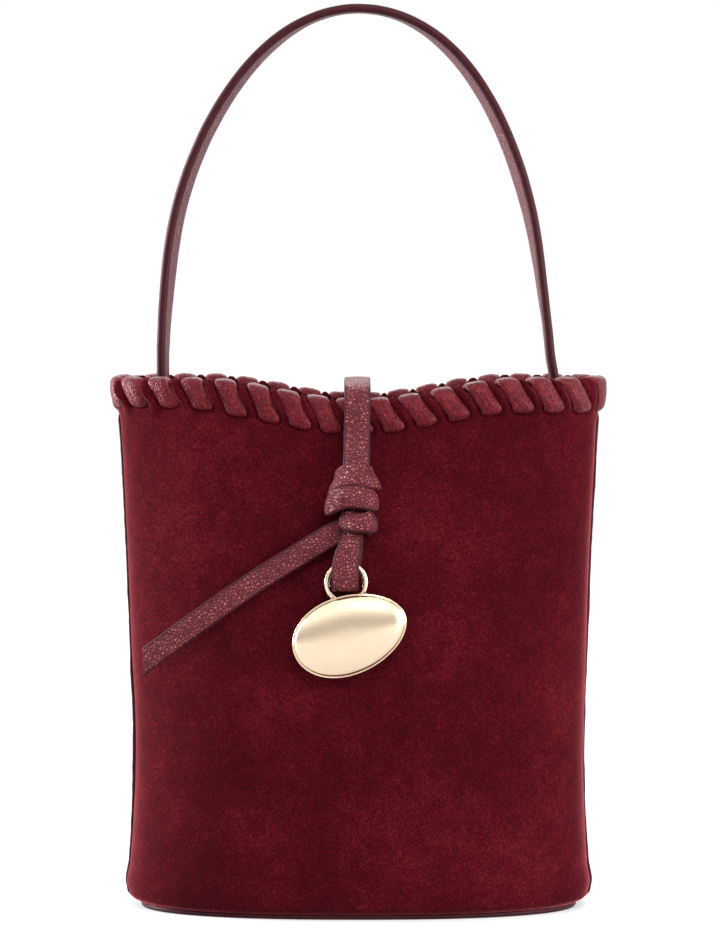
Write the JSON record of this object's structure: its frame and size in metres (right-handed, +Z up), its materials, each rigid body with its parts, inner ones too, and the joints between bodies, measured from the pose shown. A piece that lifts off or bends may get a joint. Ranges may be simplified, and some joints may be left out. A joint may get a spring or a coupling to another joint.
{
  "type": "bucket bag",
  "caption": "Open-topped suede bucket bag with a laced rim, a tall strap handle and a knotted closure strap ending in a ring and an oval metal charm.",
  "frame": {"origin": "centre of the base's underside, on the floor the bag stands on", "axes": "+X to the bag's right as worn facing away, which is right in a front view; the front with the closure strap faces -Y; +Z up along the handle"},
  "size_m": [0.2246, 0.1113, 0.4046],
  "materials": {
    "suede": "burgundy suede, short nap",
    "lining": "plain woven lining, dusty rose",
    "edge_paint": "leather strip with dark painted edge",
    "base_leather": "smooth leather, painted edge",
    "board": "stiffening board or webbing, hidden",
    "lace_leather": "soft burgundy leather, slightly glossy",
    "strap_leather": "pebbled burgundy leather, painted edges",
    "gold": "polished pale gold plate"
  },
  "bodies": {
    "bag": {"front_panel": "suede", "back_panel": "suede", "front_lining": "lining", "back_lining": "lining", "left_seam_strip": "edge_paint", "right_seam_strip": "edge_paint", "base_panel": "base_leather", "base_board": "board", "base_lining": "lining", "front_rim_lace": "lace_leather", "back_rim_lace": "lace_leather", "handle_end_left": "strap_leather", "handle_end_right": "strap_leather", "handle_patch_left": "strap_leather", "handle_patch_right": "strap_leather", "closure_anchor": "strap_leather"},
    "handle": {"handle_outer_layer": "strap_leather", "handle_inner_layer": "strap_leather", "handle_core": "board"},
    "closure": {"closure_strap": "strap_leather", "knot_strip": "strap_leather"},
    "ring": {"charm_ring": "gold"},
    "charm": {"charm_front_shell": "gold", "charm_back_shell": "gold"}
  },
  "joints": [
    {"name": "handle_swing", "type": "hinge", "parent": "bag", "child": "handle", "pos_m": [0, 0, 0.243], "axis": [1, 0, 0], "range_deg": [-70, 70]},
    {"name": "closure_lift", "type": "hinge", "parent": "bag", "child": "closure", "pos_m": [0, 0.0419, 0.2195], "axis": [-1, 0, 0], "range_deg": [0, 95]},
    {"name": "ring_swing", "type": "hinge", "parent": "closure", "child": "ring", "pos_m": [-0.0055, -0.0496, 0.1587], "axis": [-1, 0, 0], "range_deg": [0, 50]},
    {"name": "charm_tilt", "type": "hinge", "parent": "ring", "child": "charm", "pos_m": [-0.0055, -0.0496, 0.1503], "axis": [0, -1, 0], "range_deg": [-18, 12]}
  ]
}
